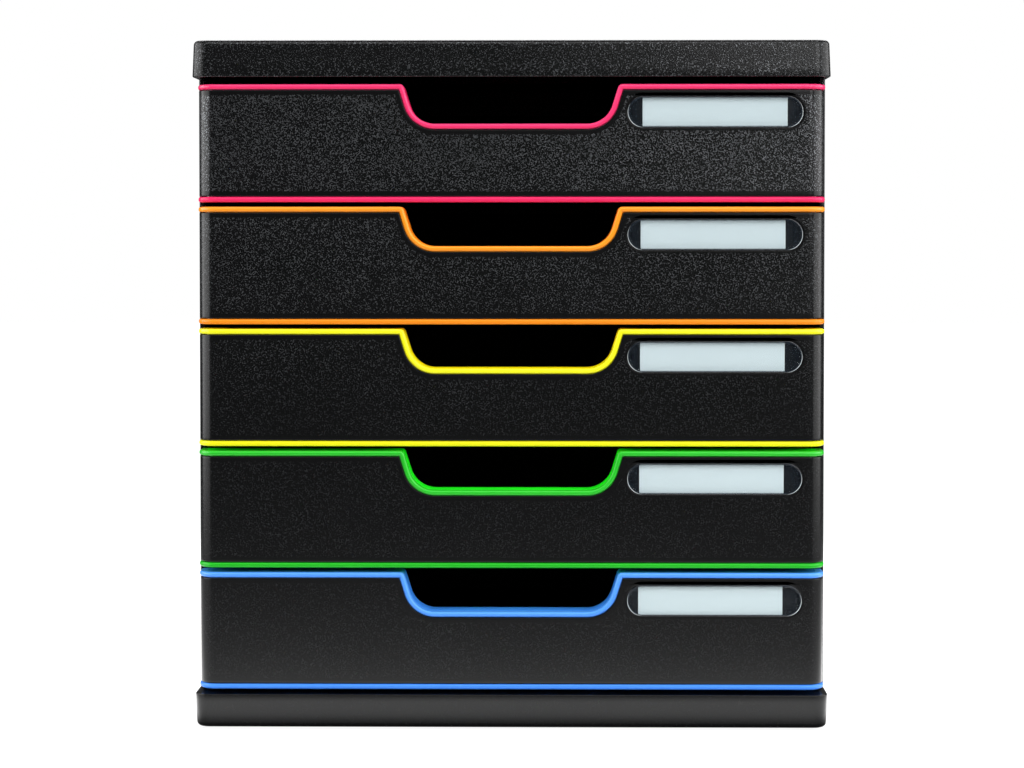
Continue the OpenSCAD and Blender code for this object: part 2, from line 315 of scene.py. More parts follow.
def kept(piece, modifier):
    """Keeps what a modifier makes of piece as the piece's own plain mesh."""
    graph = bpy.context.evaluated_depsgraph_get()
    graph.update()
    mesh = bpy.data.meshes.new_from_object(piece.evaluated_get(graph))
    piece.modifiers.remove(modifier)
    piece.data = mesh
    return piece


# ---- Shader maths ----


class Value:
    """A socket that sums can be written with; each operator adds its Math node."""

    def __init__(self, tree, socket):
        self.tree = tree
        self.socket = socket

    def maths(self, operation, *items):
        """Math node over the items, in their order."""
        node = self.tree.nodes.new("ShaderNodeMath")
        node.operation = operation
        for slot, item in zip(node.inputs, items):
            plug(self.tree, slot, item)
        return Value(self.tree, node.outputs[0])

    def __add__(self, other):
        return self.maths("ADD", self, other)

    def __radd__(self, other):
        return self.maths("ADD", other, self)

    def __sub__(self, other):
        return self.maths("SUBTRACT", self, other)

    def __rsub__(self, other):
        return self.maths("SUBTRACT", other, self)

    def __mul__(self, other):
        return self.maths("MULTIPLY", self, other)

    def __rmul__(self, other):
        return self.maths("MULTIPLY", other, self)

    def __truediv__(self, other):
        return self.maths("DIVIDE", self, other)

    def __mod__(self, other):
        return self.maths("MODULO", self, other)

    def floor(self):
        return self.maths("FLOOR", self)

    def smooth(self, low, high):
        """0 below low, 1 above high and smooth between them."""
        node = self.tree.nodes.new("ShaderNodeMapRange")
        node.interpolation_type = "SMOOTHSTEP"
        plug(self.tree, node.inputs["Value"], self)
        node.inputs["From Min"].default_value = low
        node.inputs["From Max"].default_value = high
        return Value(self.tree, node.outputs[0])


def plug(tree, slot, item):
    """Links a Value to a node's input, or sets the input to a constant."""
    if isinstance(item, Value):
        tree.links.new(item.socket, slot)
    else:
        slot.default_value = item


class Finish:
    """One material: a Principled shader and the nodes that vary it."""

    def __init__(self, name, **shader):
        self.material = bpy.data.materials.new(name)
        self.material.use_nodes = True
        self.tree = self.material.node_tree
        self.shader = self.tree.nodes["Principled BSDF"]
        self.set(**shader)

    def node(self, kind, output=0, **inputs):
        """New node; in the name of an input, an underscore stands for a space."""
        made = self.tree.nodes.new(kind)
        for socket, item in inputs.items():
            plug(self.tree, made.inputs[socket.replace("_", " ")], item)
        return Value(self.tree, made.outputs[output])

    def place(self):
        return self.node("ShaderNodeTexCoord", "Object")

    def noise(self, scale, detail=2.0, roughness=0.5):
        return self.node("ShaderNodeTexNoise", 0, Vector=self.place(), Scale=scale, Detail=detail,
                         Roughness=roughness)

    def from_box(self, half):
        """Distance from a box about the origin, given half its size."""
        outside = self.vectors("SUBTRACT", self.vectors("ABSOLUTE", self.place()), half)
        return self.vectors("LENGTH", self.vectors("MAXIMUM", outside, (0, 0, 0)), output="Value")

    def vectors(self, operation, *items, output=0):
        made = self.tree.nodes.new("ShaderNodeVectorMath")
        made.operation = operation
        for slot, item in zip(made.inputs, items):
            plug(self.tree, slot, item)
        return Value(self.tree, made.outputs[output])

    def height(self):
        """Height over the floor, as a share of the tower's."""
        made = self.tree.nodes.new("ShaderNodeSeparateXYZ")
        plug(self.tree, made.inputs[0], self.place())
        return Value(self.tree, made.outputs[2]) * (1 / LID_HIGH.z)

    def attribute(self, name):
        made = self.tree.nodes.new("ShaderNodeAttribute")
        made.attribute_name = name
        return Value(self.tree, made.outputs["Fac"])

    def blend(self, share, first, second):
        """Colour that goes from first to second as share goes from 0 to 1."""
        made = self.tree.nodes.new("ShaderNodeMix")
        made.data_type = "RGBA"
        plug(self.tree, made.inputs[0], share)
        plug(self.tree, made.inputs[6], first)
        plug(self.tree, made.inputs[7], second)
        return Value(self.tree, made.outputs[2])

    def bump(self, height, strength, distance):
        return self.node("ShaderNodeBump", 0, Height=height, Strength=strength, Distance=distance)

    def set(self, **inputs):
        for socket, item in inputs.items():
            plug(self.tree, self.shader.inputs[socket.replace("_", " ")], item)
        return self.material


def grey(level, tint=(1, 1, 1)):
    return (level * tint[0], level * tint[1], level * tint[2], 1)


COOL = (0.96, 1.0, 1.06)


def grained_plastic(name, look, masked=False):
    """Black moulded plastic with a spark-eroded grain whose flecks and bumps fade towards the foot of the
    tower, painted shade for the glints that the lights give only higher up; masked leaves the rolled edges
    smooth."""
    finish = Finish(name, IOR=1.5, Specular_IOR_Level=0.22)
    pits = finish.noise(1 / look.grain_size, 1, 0.5)
    fine = finish.noise(2.1 / look.grain_size, 1, 0.5)
    cloud = finish.noise(24, 2)
    grain = pits * 0.7 + fine * 0.3
    # Painted shade: the grain and its shiny flecks fade out towards the foot of the tower
    fade = look.grain_foot_painted_shade + finish.height().smooth(0.4, 1.0) * (1 - look.grain_foot_painted_shade)
    mask = fade * (finish.attribute("grain") if masked else 0.8)
    tip = 0.525 if masked else 0.555
    rise = 0.08
    patches = 0.4 + cloud * 0.9
    fleck = (grain + (mask - 1) * 0.05).smooth(tip, tip + rise) * mask * patches
    dark = grey(look.black_level, COOL)
    light = grey(look.fleck, COOL)
    roughness = 0.22 + cloud * 0.05 + fleck * 0.02
    normal = finish.bump((grain - 0.5) * mask, look.grain_strength, look.grain_depth)
    return finish.set(Base_Color=finish.blend(fleck, dark, light), Metallic=fleck,
                      Roughness=roughness, Normal=normal)


def smooth_black(name, look):
    """Plain satin black of the trays' moulding, with the faint orange peel of its mould."""
    finish = Finish(name, IOR=1.46)
    peel = finish.noise(900, 2, 0.5)
    rub = finish.noise(30, 3)
    colour = finish.blend(rub, grey(look.black_level * 0.5, COOL), grey(look.black_level, COOL))
    return finish.set(Base_Color=colour, Roughness=0.4 + rub * 0.14,
                      Normal=finish.bump(peel, 0.15, 0.00008))


def trim_plastic(name, colour):
    """Coloured plastic, glossy on its beads and matt on the shelf behind; the beads' undersides and the
    bottom beads get painted shade, and the shelf a painted light colour, more saturated and near full
    strength.
    """
    finish = Finish(name, Specular_IOR_Level=0.0, Coat_Roughness=0.3, Coat_IOR=1.45)
    drift = finish.noise(45, 3)
    peel = finish.noise(500, 2, 0.5)
    # shelf marks the shelves, coloured as painted light; foot carries the beads' painted shade
    shelf = finish.attribute("shelf")
    foot = finish.attribute("foot")
    # dim is painted shade for the beads' undersides and the bottom beads; deep is painted light for the
    # shelves, a more saturated copy of the colour raised near full strength
    dim = tuple(0.83 * c ** 1.2 for c in colour[:3]) + (1,)
    deep = tuple(0.95 * (c / max(colour[:3])) ** 1.15 for c in colour[:3]) + (1,)
    bead = finish.blend(foot * 0.8 + drift * 0.1, colour, dim)
    return finish.set(Base_Color=finish.blend(shelf, bead, deep), Roughness=0.33 + drift * 0.1,
                      Coat_Weight=1 - shelf - foot * 0.5, Normal=finish.bump(peel, 0.06, 0.00005))


def card_paper(name, colour):
    """Matt, faintly mottled card."""
    finish = Finish(name, IOR=1.4)
    fibre = finish.noise(1500, 3, 0.6)
    tone = finish.noise(20, 2)
    shade = tuple(c * 0.93 for c in colour[:3]) + (1,)
    return finish.set(Base_Color=finish.blend(tone * 0.7 + fibre * 0.3, shade, colour),
                      Roughness=0.7 + fibre * 0.15, Normal=finish.bump(fibre, 0.2, 0.00003))


def clear_plastic(name):
    """Label window: clear where it is flat, dark along its rim and lugs, with a painted highlight along
    its outer edge.
    """
    finish = Finish(name, IOR=1.5, Coat_Roughness=0.03)
    clear = finish.attribute("clear")
    ripple = finish.noise(90, 2)
    colour = finish.blend(clear, (0.006, 0.008, 0.012, 1), (0.05, 0.07, 0.095, 1))
    # Painted highlight: the rim's outer edge line is coloured light grey
    colour = finish.blend(finish.attribute("pale"), colour, (0.6, 0.66, 0.68, 1))
    return finish.set(Base_Color=colour, Roughness=0.08 + ripple * 0.05, Alpha=0.96 - clear * 0.9,
                      Coat_Weight=0.6 - clear * 0.3, Normal=finish.bump(ripple, 0.05, 0.0001))


def foot_rubber(name):
    """Matt black rubber with a little dust."""
    finish = Finish(name, IOR=1.5)
    dust = finish.noise(500, 3, 0.6)
    return finish.set(Base_Color=finish.blend(dust, grey(0.006), grey(0.02)),
                      Roughness=0.7 + dust * 0.2, Normal=finish.bump(dust, 0.3, 0.0001))


# ---- Geometry Nodes ----


def repeat_tree(name):
    """Copies the mesh that comes in over a grid, realizes the copies and gives them a material."""
    tree = bpy.data.node_groups.new(name, "GeometryNodeTree")
    for label, kind in (("Geometry", "Geometry"), ("Columns", "Int"), ("Rows", "Int"),
                        ("Layers", "Int"), ("Start", "Vector"), ("Step", "Vector"),
                        ("Material", "Material")):
        socket = tree.interface.new_socket(label, in_out="INPUT", socket_type="NodeSocket" + kind)
        if kind == "Int":
            socket.default_value = 1
    tree.interface.new_socket("Geometry", in_out="OUTPUT", socket_type="NodeSocketGeometry")
    new, link = tree.nodes.new, tree.links.new
    source = new("NodeGroupInput")
    columns, rows, layers = [Value(tree, source.outputs[key]) for key in ("Columns", "Rows", "Layers")]
    index = Value(tree, new("GeometryNodeInputIndex").outputs[0])
    cell = new("ShaderNodeCombineXYZ")
    rank = (index / columns).floor()
    layer = (index / (columns * rows)).floor()
    for slot, value in zip(cell.inputs, (index % columns, rank % rows, layer)):
        plug(tree, slot, value)
    spot = new("ShaderNodeVectorMath")
    spot.operation = "MULTIPLY_ADD"
    link(cell.outputs[0], spot.inputs[0])
    link(source.outputs["Step"], spot.inputs[1])
    link(source.outputs["Start"], spot.inputs[2])
    points = new("GeometryNodePoints")
    plug(tree, points.inputs["Count"], columns * rows * layers)
    link(spot.outputs[0], points.inputs["Position"])
    copies = new("GeometryNodeInstanceOnPoints")
    link(points.outputs[0], copies.inputs["Points"])
    link(source.outputs["Geometry"], copies.inputs["Instance"])
    solid = new("GeometryNodeRealizeInstances")
    link(copies.outputs[0], solid.inputs[0])
    dressed = new("GeometryNodeSetMaterial")
    link(solid.outputs[0], dressed.inputs["Geometry"])
    link(source.outputs["Material"], dressed.inputs["Material"])
    result = new("NodeGroupOutput")
    link(dressed.outputs[0], result.inputs[0])
    return tree


def repeated(name, bm, material, count, start, step):
    """Grid of copies of the small closed mesh bm, made by the repeat tree."""
    piece = new_object(name, bm, material)
    group = "repeat_over_grid"
    tree = bpy.data.node_groups.get(group) or repeat_tree(group)
    modifier = piece.modifiers.new(group, "NODES")
    modifier.node_group = tree
    inputs = {"Columns": count[0], "Rows": count[1], "Layers": count[2], "Start": start,
              "Step": step, "Material": material}
    for item in tree.interface.items_tree:
        if item.in_out == "INPUT" and item.name in inputs:
            modifier[item.identifier] = inputs[item.name]
    return kept(piece, modifier)


def either_side(name, bm, material, x, y=0):
    """Copies of bm at x and -x and at y and -y; where one of them is 0, along the other only."""
    count = (2 if x else 1, 2 if y else 1, 1)
    return repeated(name, bm, material, count, (-x, -y, 0), (2 * x, 2 * y, 0))


# ---- Pieces of the case ----


def settle(piece, body, slot, *nodes):
    """Puts a finished piece in place of its CAD nodes."""
    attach(piece, body)
    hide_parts(*nodes)
    return piece


def shell_rings(drawn_in, low, high, turned_over=False):
    """Rings of a hollow lid or base: from its ceiling down the inside, and up over the outside."""
    h = high - low
    side_h = h - EDGE_R
    fillet = 1 * MM
    lip = 0.1 * MM if turned_over else RIM_R
    inside = eased(RIM_T, h - PLATE_T, fillet, -fillet, back=True) + eased(RIM_T, 0, -lip, lip)
    outside = eased(0, 0, RIM_R, RIM_R, back=True)
    lean_steps = 4
    outside += [(RIM_LEAN * k / lean_steps, RIM_R + (side_h - RIM_R) * k / lean_steps)
                for k in range(1, lean_steps)]
    outside += eased(RIM_LEAN, h, EDGE_R, -EDGE_R, 8)
    if turned_over:
        outside = [(inset, h - rise) for inset, rise in reversed(outside)]
    outside = [(min(drawn_in + inset, RIM_T - 2 * lip) if rise < lip else drawn_in + inset, rise)
               for inset, rise in outside]
    return [rounded_ring(TOWER_W - 2 * inset, TOWER_D - 2 * inset, max(CORNER_R - inset, SHARPEST_R),
                         low + rise) for inset, rise in inside + outside]


def crossing_ribs(name, material, ceiling, x_end, y_ends):
    """Ribs that cross under a plate, out to the places given."""
    low, high = ceiling - RIB_H, ceiling + PLATE_T / 2
    across = bar((-x_end, -RIB_T / 2, low), (x_end, RIB_T / 2, high))
    along = bar((-RIB_T / 2, y_ends[0], low), (RIB_T / 2, y_ends[1], high))
    return [either_side(name + "_across", across, material, 0, RIB_Y),
            either_side(name + "_along", along, material, RIB_X)]


def make_lid(material):
    """Lid with crossing ribs, and the rails that hold the panels under it."""
    shell = skinned("lid_shell", shell_rings(0, LID_LOW.z, LID_HIGH.z), material)
    ceiling = LID_HIGH.z - PLATE_T
    rail_x = SIDE_IN - TONGUE_T - SEAT_GAP - RIB_T / 2
    rail_y = BACK_LOW.y - SEAT_GAP - RIB_T / 2
    ribs = crossing_ribs("lid_ribs", material, ceiling, rail_x, (RIM_T - TOWER_D / 2, rail_y))
    low, high = LID_LOW.z + RIB_T, ceiling + PLATE_T / 2
    side_rail = bar((-RIB_T / 2, -rail_y, low), (RIB_T / 2, rail_y, high))
    rails = either_side("lid_rails", side_rail, material, rail_x)
    back_rail = bar((-rail_x, rail_y - RIB_T / 2, low), (rail_x, rail_y + RIB_T / 2, high))
    rails = [rails, new_object("lid_back_rail", back_rail, material)]
    return joined("lid_dressed", [shell, *ribs, *rails], material)


def turned(profile, steps=40):
    """Mesh of a round solid from its (radius, height) profile."""
    turns = [2 * pi * k / steps for k in range(steps)]
    bm = bmesh.new()
    add_rings(bm, [[Vector((r * cos(a), r * sin(a), z)) for a in turns] for r, z in profile])
    return bm


def at_corners(name, bm, material):
    """Four copies of bm over the places of the feet."""
    return either_side(name, bm, material, -FOOT_LOW.x - FOOT_D / 2, -FOOT_LOW.y - FOOT_D / 2)


def make_base(material):
    """Base with crossing ribs and a cup for each foot under its deck."""
    shell = skinned("base_shell", shell_rings(BASE_INSET, BASE_LOW.z, BASE_HIGH.z, True), material)
    deck = BASE_HIGH.z - PLATE_T
    ribs = crossing_ribs("base_ribs", material, deck, TOWER_W / 2 - RIM_T,
                         (RIM_T - TOWER_D / 2, TOWER_D / 2 - RIM_T))
    low, edge = BASE_LOW.z, 0.4 * MM
    inner = FOOT_D / 2 + SEAT_GAP
    outer = inner + CUP_WALL
    profile = [(outer, deck + PLATE_T / 2)]
    profile += eased(outer, low, -edge, edge, 3)
    profile += eased(inner, low, edge, edge, 3, back=True)
    profile += [(inner, low + CUP_DEPTH)]
    cups = at_corners("cups", turned(profile), material)
    return joined("base_dressed", [shell, *ribs, cups], material)


def make_feet(material):
    """Round pads with a soft edge and a shallow hollow, one to each corner."""
    low, r, edge = FOOT_LOW.z, FOOT_D / 2, 0.4 * MM
    hollow = ((0.3, 0.3 * MM), (0.6, 0.25 * MM), (0.72, 0))
    profile = [(share * r, low + depth) for share, depth in hollow]
    profile += eased(r, low, -edge, edge, back=True)
    profile += [(r, FOOT_HIGH.z)]
    return at_corners("feet_dressed", turned(profile), material)


def side_ring(z):
    """Right side panel from above: front edge, outside, rear corner, return and inside."""
    x1, y0, y1 = SIDE_HIGH.x, SIDE_LOW.y, SIDE_HIGH.y
    r = CORNER_R - SIDE_INSET
    nose = 0.7 * MM
    x0 = x1 - SIDE_T
    points = arc_points((x0 + nose, y0 + nose), nose, pi, pi * 3 / 2, 5)
    points += arc_points((x1 - nose, y0 + nose), nose, -pi / 2, 0, 5)
    points += arc_points((x1 - r, y1 - r), r, 0, pi / 2, 14)
    points += arc_points((x1 - RETURN_W + nose, y1 - nose), nose, pi / 2, pi, 5)
    points += [(x1 - RETURN_W, y1 - SIDE_T)]
    points += arc_points((x1 - r, y1 - r), r - SIDE_T, pi / 2, 0, 10)
    return [Vector((x, y, z)) for x, y in points]


def make_side_panel(side, material):
    """Side panel with a ledge under each tray, and tongues that reach into the lid and base."""
    name = "right_side" if side > 0 else "left_side"
    wall = skinned(name + "_wall", [side_ring(BASE_HIGH.z), side_ring(LID_LOW.z)], material)
    ledge = bar((SIDE_IN - LEDGE_W, SIDE_LOW.y + LEDGE_BACK, 0),
                (SIDE_HIGH.x - SIDE_T / 2, BACK_LOW.y - SEAT_GAP, LEDGE_T), LEDGE_R)
    ledges = repeated(name + "_ledges", ledge, material, (1, 1, DRAWERS), (0, 0, front_z(DRAWERS)),
                      (0, 0, PITCH))
    sunk = 0.1 * MM
    tongue = bar((SIDE_IN - TONGUE_T, -TONGUE_L / 2, 0),
                 (SIDE_IN + sunk, TONGUE_L / 2, TONGUE_H + TONGUE_ROOT))
    along = TOWER_D / 2 - TONGUE_INSET
    foot = BASE_HIGH.z - TONGUE_H
    tongues = repeated(name + "_tongues", tongue, material, (1, 3, 2), (0, -along, foot),
                       (0, along, LID_LOW.z - TONGUE_ROOT - foot))
    panel = joined(name + "_dressed", [wall, ledges, tongues], material)
    if side < 0:
        panel.data.transform(Matrix.Scale(-1, 4, (1, 0, 0)))
        panel.data.flip_normals()
    return panel


def make_back_panel(material):
    """Plate with a soft-edged sunken field on its outside, and two tongues into the base."""
    w = BACK_HIGH.x - BACK_LOW.x
    z0, z1 = BASE_HIGH.z, BACK_HIGH.z
    field_w = 2 * (SIDE_HIGH.x - RETURN_W - BACK_FRAME)
    field_h = LID_LOW.z - BASE_HIGH.z - 2 * BACK_FRAME
    field_z = BASE_HIGH.z + BACK_FRAME + field_h / 2
    edge = 0.4 * MM
    slope_w = 1.6 * MM

    def ring(width, height, middle, r, y):
        flat = rounded_ring(width, height, r, 0)
        return [Vector((p.x, y, middle + p.y)) for p in flat]

    rings = []
    for inset, r, y in ((edge, edge, BACK_LOW.y), (0, edge * 2, BACK_LOW.y + edge),
                        (0, edge * 2, BACK_HIGH.y - edge), (edge, edge, BACK_HIGH.y)):
        rings.append(ring(w - 2 * inset, z1 - z0 - 2 * inset, (z0 + z1) / 2, r, y))
    for inset, drop in ((0, 0), (0.15, 0.06), (0.5, 0.5), (0.85, 0.94), (1, 1)):
        slope = slope_w * inset
        rings.append(ring(field_w - 2 * slope, field_h - 2 * slope, field_z, CORNER_R - slope,
                          BACK_HIGH.y - BACK_SINK * drop))
    plate = skinned("back_plate", rings, material)
    tongue = bar((-TONGUE_L / 2, BACK_LOW.y, BASE_HIGH.z - TONGUE_H),
                 (TONGUE_L / 2, BACK_HIGH.y, BASE_HIGH.z + 1 * MM))
    tongues = either_side("back_tongues", tongue, material, BACK_TONGUE_X)
    return joined("back_panel_dressed", [plate, tongues], material)


# ---- Pieces of a drawer ----


def top_line(e, end):
    """Top edge of a front inset by e, from end to end, down round the notch."""
    bent = WRAP.stations(end)
    return [(-s, -e) for s in reversed(bent)] + notch_line(e) + [(s, -e) for s in bent]


def bottom_line(e, end):
    """Bottom edge of a front inset by e, from end to end."""
    bent = WRAP.stations(end)
    return [(-s, e - FRONT_H) for s in reversed(bent)] + [(s, e - FRONT_H) for s in bent]


def bead_section():
    """Closed section of a bead: (inset, depth) points with a full round nose and eased back."""
    nose = 1.05 * MM
    back = 0.3 * MM
    h, d = BEAD_H, BEAD_D
    points = eased(0, 0, nose, nose, 6) + eased(h, 0, -nose, nose, 6, back=True)
    points += [(h, d - back), (h - back, d), (back, d), (0, d - back)]
    return points


def make_trim(i, material):
    """Coloured frame of a front: two beads, the shelves behind them and the web between.

    The attribute foot is painted shade, how far a bead is darkened, low_end at its lower edge and
    high_end at its upper; shelf is 1 on the shelves, whose colour is painted light."""
    top_z = front_z(i) + FRONT_H
    bm = bmesh.new()
    shelf = bm.verts.layers.float.new("shelf")
    foot = bm.verts.layers.float.new("foot")
    bead = bead_section()
    # Painted shade: each bead is darkened towards its underside, and the bottom beads all over
    for line, low_end, high_end in ((top_line, 0.6, 0.0), (bottom_line, 1.0, 0.85)):
        rows = add_strips(bm, [[WRAP.point(s, top_z + z, depth) for s, z in line(e, WRAP.end)]
                               for e, depth in bead])
        for row, (e, _) in zip(rows, bead):
            share = min(max((e / BEAD_H - 0.3) / 0.4, 0), 1)
            if line is bottom_line:
                share = 1 - share
            for v in row:
                v[foot] = high_end + (low_end - high_end) * share
    ease = 0.03 * MM
    tuck = BEAD_D - 0.5 * MM
    for line in (top_line, bottom_line):
        rows = []
        for e, back in ((ease, False), (ease, True), (BEAD_H - ease, True), (BEAD_H - ease, False)):
            points = [WRAP.point(s, top_z + z, tuck) for s, z in line(e, WRAP.bend_end)]
            rows.append([Vector((p.x, FRONT_Y + FRONT_D, p.z)) if back else p for p in points])
        for row in add_strips(bm, rows):
            for v in row:
                v[shelf] = 1.0
    sunk = BEAD_H - 0.3 * MM
    web = BEAD_PROUD + FASCIA_T + SEAT_GAP
    tops, bottoms = front_skin(bm, top_z, [(sunk, web), (sunk, web + WEB_T)])
    for top, bottom in zip(tops, bottoms):
        fill_panel(bm, top, bottom)
    close_ends(bm, tops, bottoms)
    return new_object(f"drawer_{i}_trim_dressed", bm, material)


def front_skin(bm, top_z, rows):
    """Edges of a wrapped panel from its (inset, depth) rows, with its flat faces open.

    Returns the rows of vertices along the top and along the bottom."""
    skins = []
    for line in (top_line, bottom_line):
        lines = [[bm.verts.new(WRAP.point(s, top_z + z, depth)) for s, z in line(e, WRAP.end)]
                 for e, depth in rows]
        for a, b in zip(lines, lines[1:]):
            for k in range(len(a) - 1):
                bm.faces.new((a[k], a[k + 1], b[k + 1], b[k]))
        skins.append(lines)
    return skins


def close_ends(bm, tops, bottoms):
    """Closes both ends of a wrapped panel between all its rows."""
    for k in (0, -1):
        bm.faces.new([line[k] for line in tops] + [line[k] for line in reversed(bottoms)])


def fill_panel(bm, top, bottom, hole=None):
    """Closes a wrapped panel between its top and bottom rows; hole is a ring in its flat part."""
    bent = len(bottom) // 2
    for k in range(bent - 1):
        bm.faces.new((top[k], top[k + 1], bottom[k + 1], bottom[k]))
        bm.faces.new((top[-1 - k], top[-2 - k], bottom[-2 - k], bottom[-1 - k]))
    loop = top[bent - 1:len(top) - bent + 1] + [bottom[bent], bottom[bent - 1]]
    if hole:
        edges = ring_edges(bm, loop) + ring_edges(bm, hole)
        bmesh.ops.triangle_fill(bm, edges=edges, use_beauty=True, use_dissolve=False)
    else:
        bm.faces.new(loop)


def ring_edges(bm, loop):
    """The edges round a loop of vertices, made where they are missing."""
    edges = []
    for a, b in zip(loop, loop[1:] + loop[:1]):
        edges.append(bm.edges.get((a, b)) or bm.edges.new((a, b)))
    return edges


def pill_ring(w, h, x, z, y, steps=24):
    """Upright ring with half-round ends, about (x, z) at the depth y."""
    r = h / 2
    points = arc_points((w / 2 - r, 0), r, -pi / 2, pi / 2, steps)
    points += arc_points((r - w / 2, 0), r, pi / 2, pi * 3 / 2, steps)
    return [Vector((x + px, y, z + pz)) for px, pz in points]


def label_middle(i):
    """Where the middle of window i is: (x, z)."""
    low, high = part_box(f"drawer_{i}_label_window")
    return (low.x + high.x) / 2, (low.z + high.z) / 2


def make_fascia(i, material):
    """Black face: rolled, smooth edges and a grained field with the label's pocket sunk in it."""
    top_z = front_z(i) + FRONT_H
    roll = 0.35 * MM
    margin = 1.9 * MM
    fade = 0.6 * MM
    face = BEAD_PROUD
    edge = FASCIA_INSET
    rows = [(edge, face + FASCIA_T), *eased(edge, face, roll, roll, 8)]
    rows += [(edge + (roll + margin) / 2, face), (edge + margin, face), (edge + margin + fade, face)]
    bm = bmesh.new()
    grain = bm.verts.layers.float.new("grain")
    tops, bottoms = front_skin(bm, top_z, rows)
    x, z = label_middle(i)
    w, h = WINDOW_HIGH.x - WINDOW_LOW.x, WINDOW_HIGH.z - WINDOW_LOW.z
    lip, ring_w = 0.35 * MM, 0.8 * MM
    around = [(ring_w + fade, 0), (ring_w, 0), *eased(0, 0, lip, lip, back=True), (0, POCKET_D)]
    pocket = [pill_ring(w + 2 * (SEAT_GAP + out), h + 2 * (SEAT_GAP + out), x, z, FRONT_Y + face + deep)
              for out, deep in around]
    loops = add_rings(bm, pocket, cap=False)
    bm.faces.new(loops[-1])
    fill_panel(bm, tops[-1], bottoms[-1], loops[0])
    fill_panel(bm, tops[0], bottoms[0])
    close_ends(bm, tops, bottoms)
    for v in (*tops[-1], *bottoms[-1], *loops[0]):
        v[grain] = 1.0
    return new_object(f"drawer_{i}_fascia_dressed", bm, material, 40)


def make_card(i, material):
    """Plain card with round corners."""
    low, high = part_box(f"drawer_{i}_label_card")
    middle = (low + high) / 2
    size = high - low
    flat = rounded_ring(size.x, size.z, 0.5 * MM, 0, 4)
    rings = [[Vector((middle.x + p.x, y, middle.z + p.y)) for p in flat] for y in (high.y, low.y)]
    return skinned(f"drawer_{i}_label_card_dressed", rings, material)


def make_window(i, material):
    """Pill of clear plastic: a raised rim, a flat plate over the card, and a block and a lug
    at each end."""
    low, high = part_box(f"drawer_{i}_label_window")
    x, z = label_middle(i)
    w, h = high.x - low.x, high.z - low.z
    edge, rim, line = 0.25 * MM, 1.3 * MM, 0.12 * MM
    back_y = high.y - CARD_T - SEAT_GAP
    around = [(0, back_y), *eased(0, low.y, edge, edge, 5)]
    around += [(edge + line, low.y), (rim * 0.8, low.y), (rim, low.y + 0.08 * MM)]
    around += [(rim * 1.15, low.y + 0.3 * MM)]
    bm = bmesh.new()
    clear = bm.verts.layers.float.new("clear")
    pale = bm.verts.layers.float.new("pale")
    rings = [pill_ring(w - 2 * inset, h - 2 * inset, x, z, y) for inset, y in around]
    loops = add_rings(bm, rings, cap=False)
    bm.faces.new(loops[-1])
    bm.faces.new(loops[0])
    for v in (*loops[0], *loops[-3], *loops[-2], *loops[-1]):
        v[clear] = 1.0
    # Painted highlight: a light grey edge line round the half-round ends, stronger on their lower side
    for v in (*loops[4], *loops[5], *loops[6]):
        out = max(abs(v.co.x - x) - (w - h) / 2, 0) * 2 / h
        down = (z - v.co.z) * 2 / h
        v[pale] = min(max(1.8 * out * (0.35 + 0.65 * down), 0), 1)
    r = h / 2 - edge
    centre = w / 2 - h / 2
    chord = (CARD_HIGH.x - CARD_LOW.x) / 2 + CARD_PLAY - centre
    turn = acos(chord / r)
    for side in (-1, 1):
        end = [(x + side * px, z + pz) for px, pz in arc_points((centre, 0), r, -turn, turn, 20)]
        ends = [[Vector((px, y, pz)) for px, pz in end] for y in (back_y + 0.05 * MM, high.y)]
        for v in sum(add_rings(bm, ends), []):
            v[clear] = 1.0
        lug = x + side * (w / 2 - 2 * rim)
        add_box(bm, (lug - LUG_W / 2, low.y + 0.2 * MM, z - LUG_H / 2),
                (lug + LUG_W / 2, back_y - 0.1 * MM, z + LUG_H / 2))
    return new_object(f"drawer_{i}_label_window_dressed", bm, material)


def make_tray(i, material):
    """Moulded tray: rounded edges inside and out, and a front wall with the notch cut in it."""
    low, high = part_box(f"drawer_{i}_tray")
    width = 2 * (TOWER_W / 2 - TRAY_INSET)
    length = high.y - low.y
    floor_z = front_z(i) + LEDGE_T + FLOOR_GAP
    rim_z = front_z(i) + PITCH - RIM_GAP
    top_z = front_z(i) + FRONT_H
    middle = Vector((0, (low.y + high.y) / 2, 0))
    foot, rim, fillet = 1.2 * MM, 0.8 * MM, 1.6 * MM

    def slab(name, outline, y0, y1):
        rings = [[Vector((x, y, top_z + z)) for x, z in outline] for y in (y0, y1)]
        return skinned(f"{name}_{i}", rings, material)

    section = eased(0, floor_z, foot, foot, back=True) + eased(0, rim_z, rim, -rim)
    section += eased(TRAY_T, rim_z, -rim, -rim, back=True)
    section += eased(TRAY_T, floor_z + TRAY_T, fillet, fillet)
    rings = []
    for inset, z in section:
        flat = rounded_ring(width - 2 * inset, length - 2 * inset, max(TRAY_R - inset, SHARPEST_R), z)
        rings.append([p + middle for p in flat])
    tub = skinned(f"tub_{i}", rings, material)
    half = FRONT_W / 2 - WALL_INSET
    notch = notch_line(WALL_INSET)
    outline = [(-half, -WALL_INSET), *notch, (half, -WALL_INSET),
               (half, WALL_INSET - FRONT_H), (-half, WALL_INSET - FRONT_H)]
    wall = slab("wall", outline, low.y, low.y + TRAY_T)
    over = 2 * MM
    cut = [(notch[0][0], over), *notch, (notch[-1][0], over)]
    cutter = slab("cutter", cut, low.y - MM, low.y + TRAY_T + over)
    carved = tub.modifiers.new("notch", "BOOLEAN")
    carved.operation = "DIFFERENCE"
    carved.solver = "EXACT"
    carved.object = cutter
    kept(tub, carved)
    bpy.data.objects.remove(cutter, do_unlink=True)
    return joined(f"drawer_{i}_tray_dressed", [tub, wall], material)


# ---- Settings ----


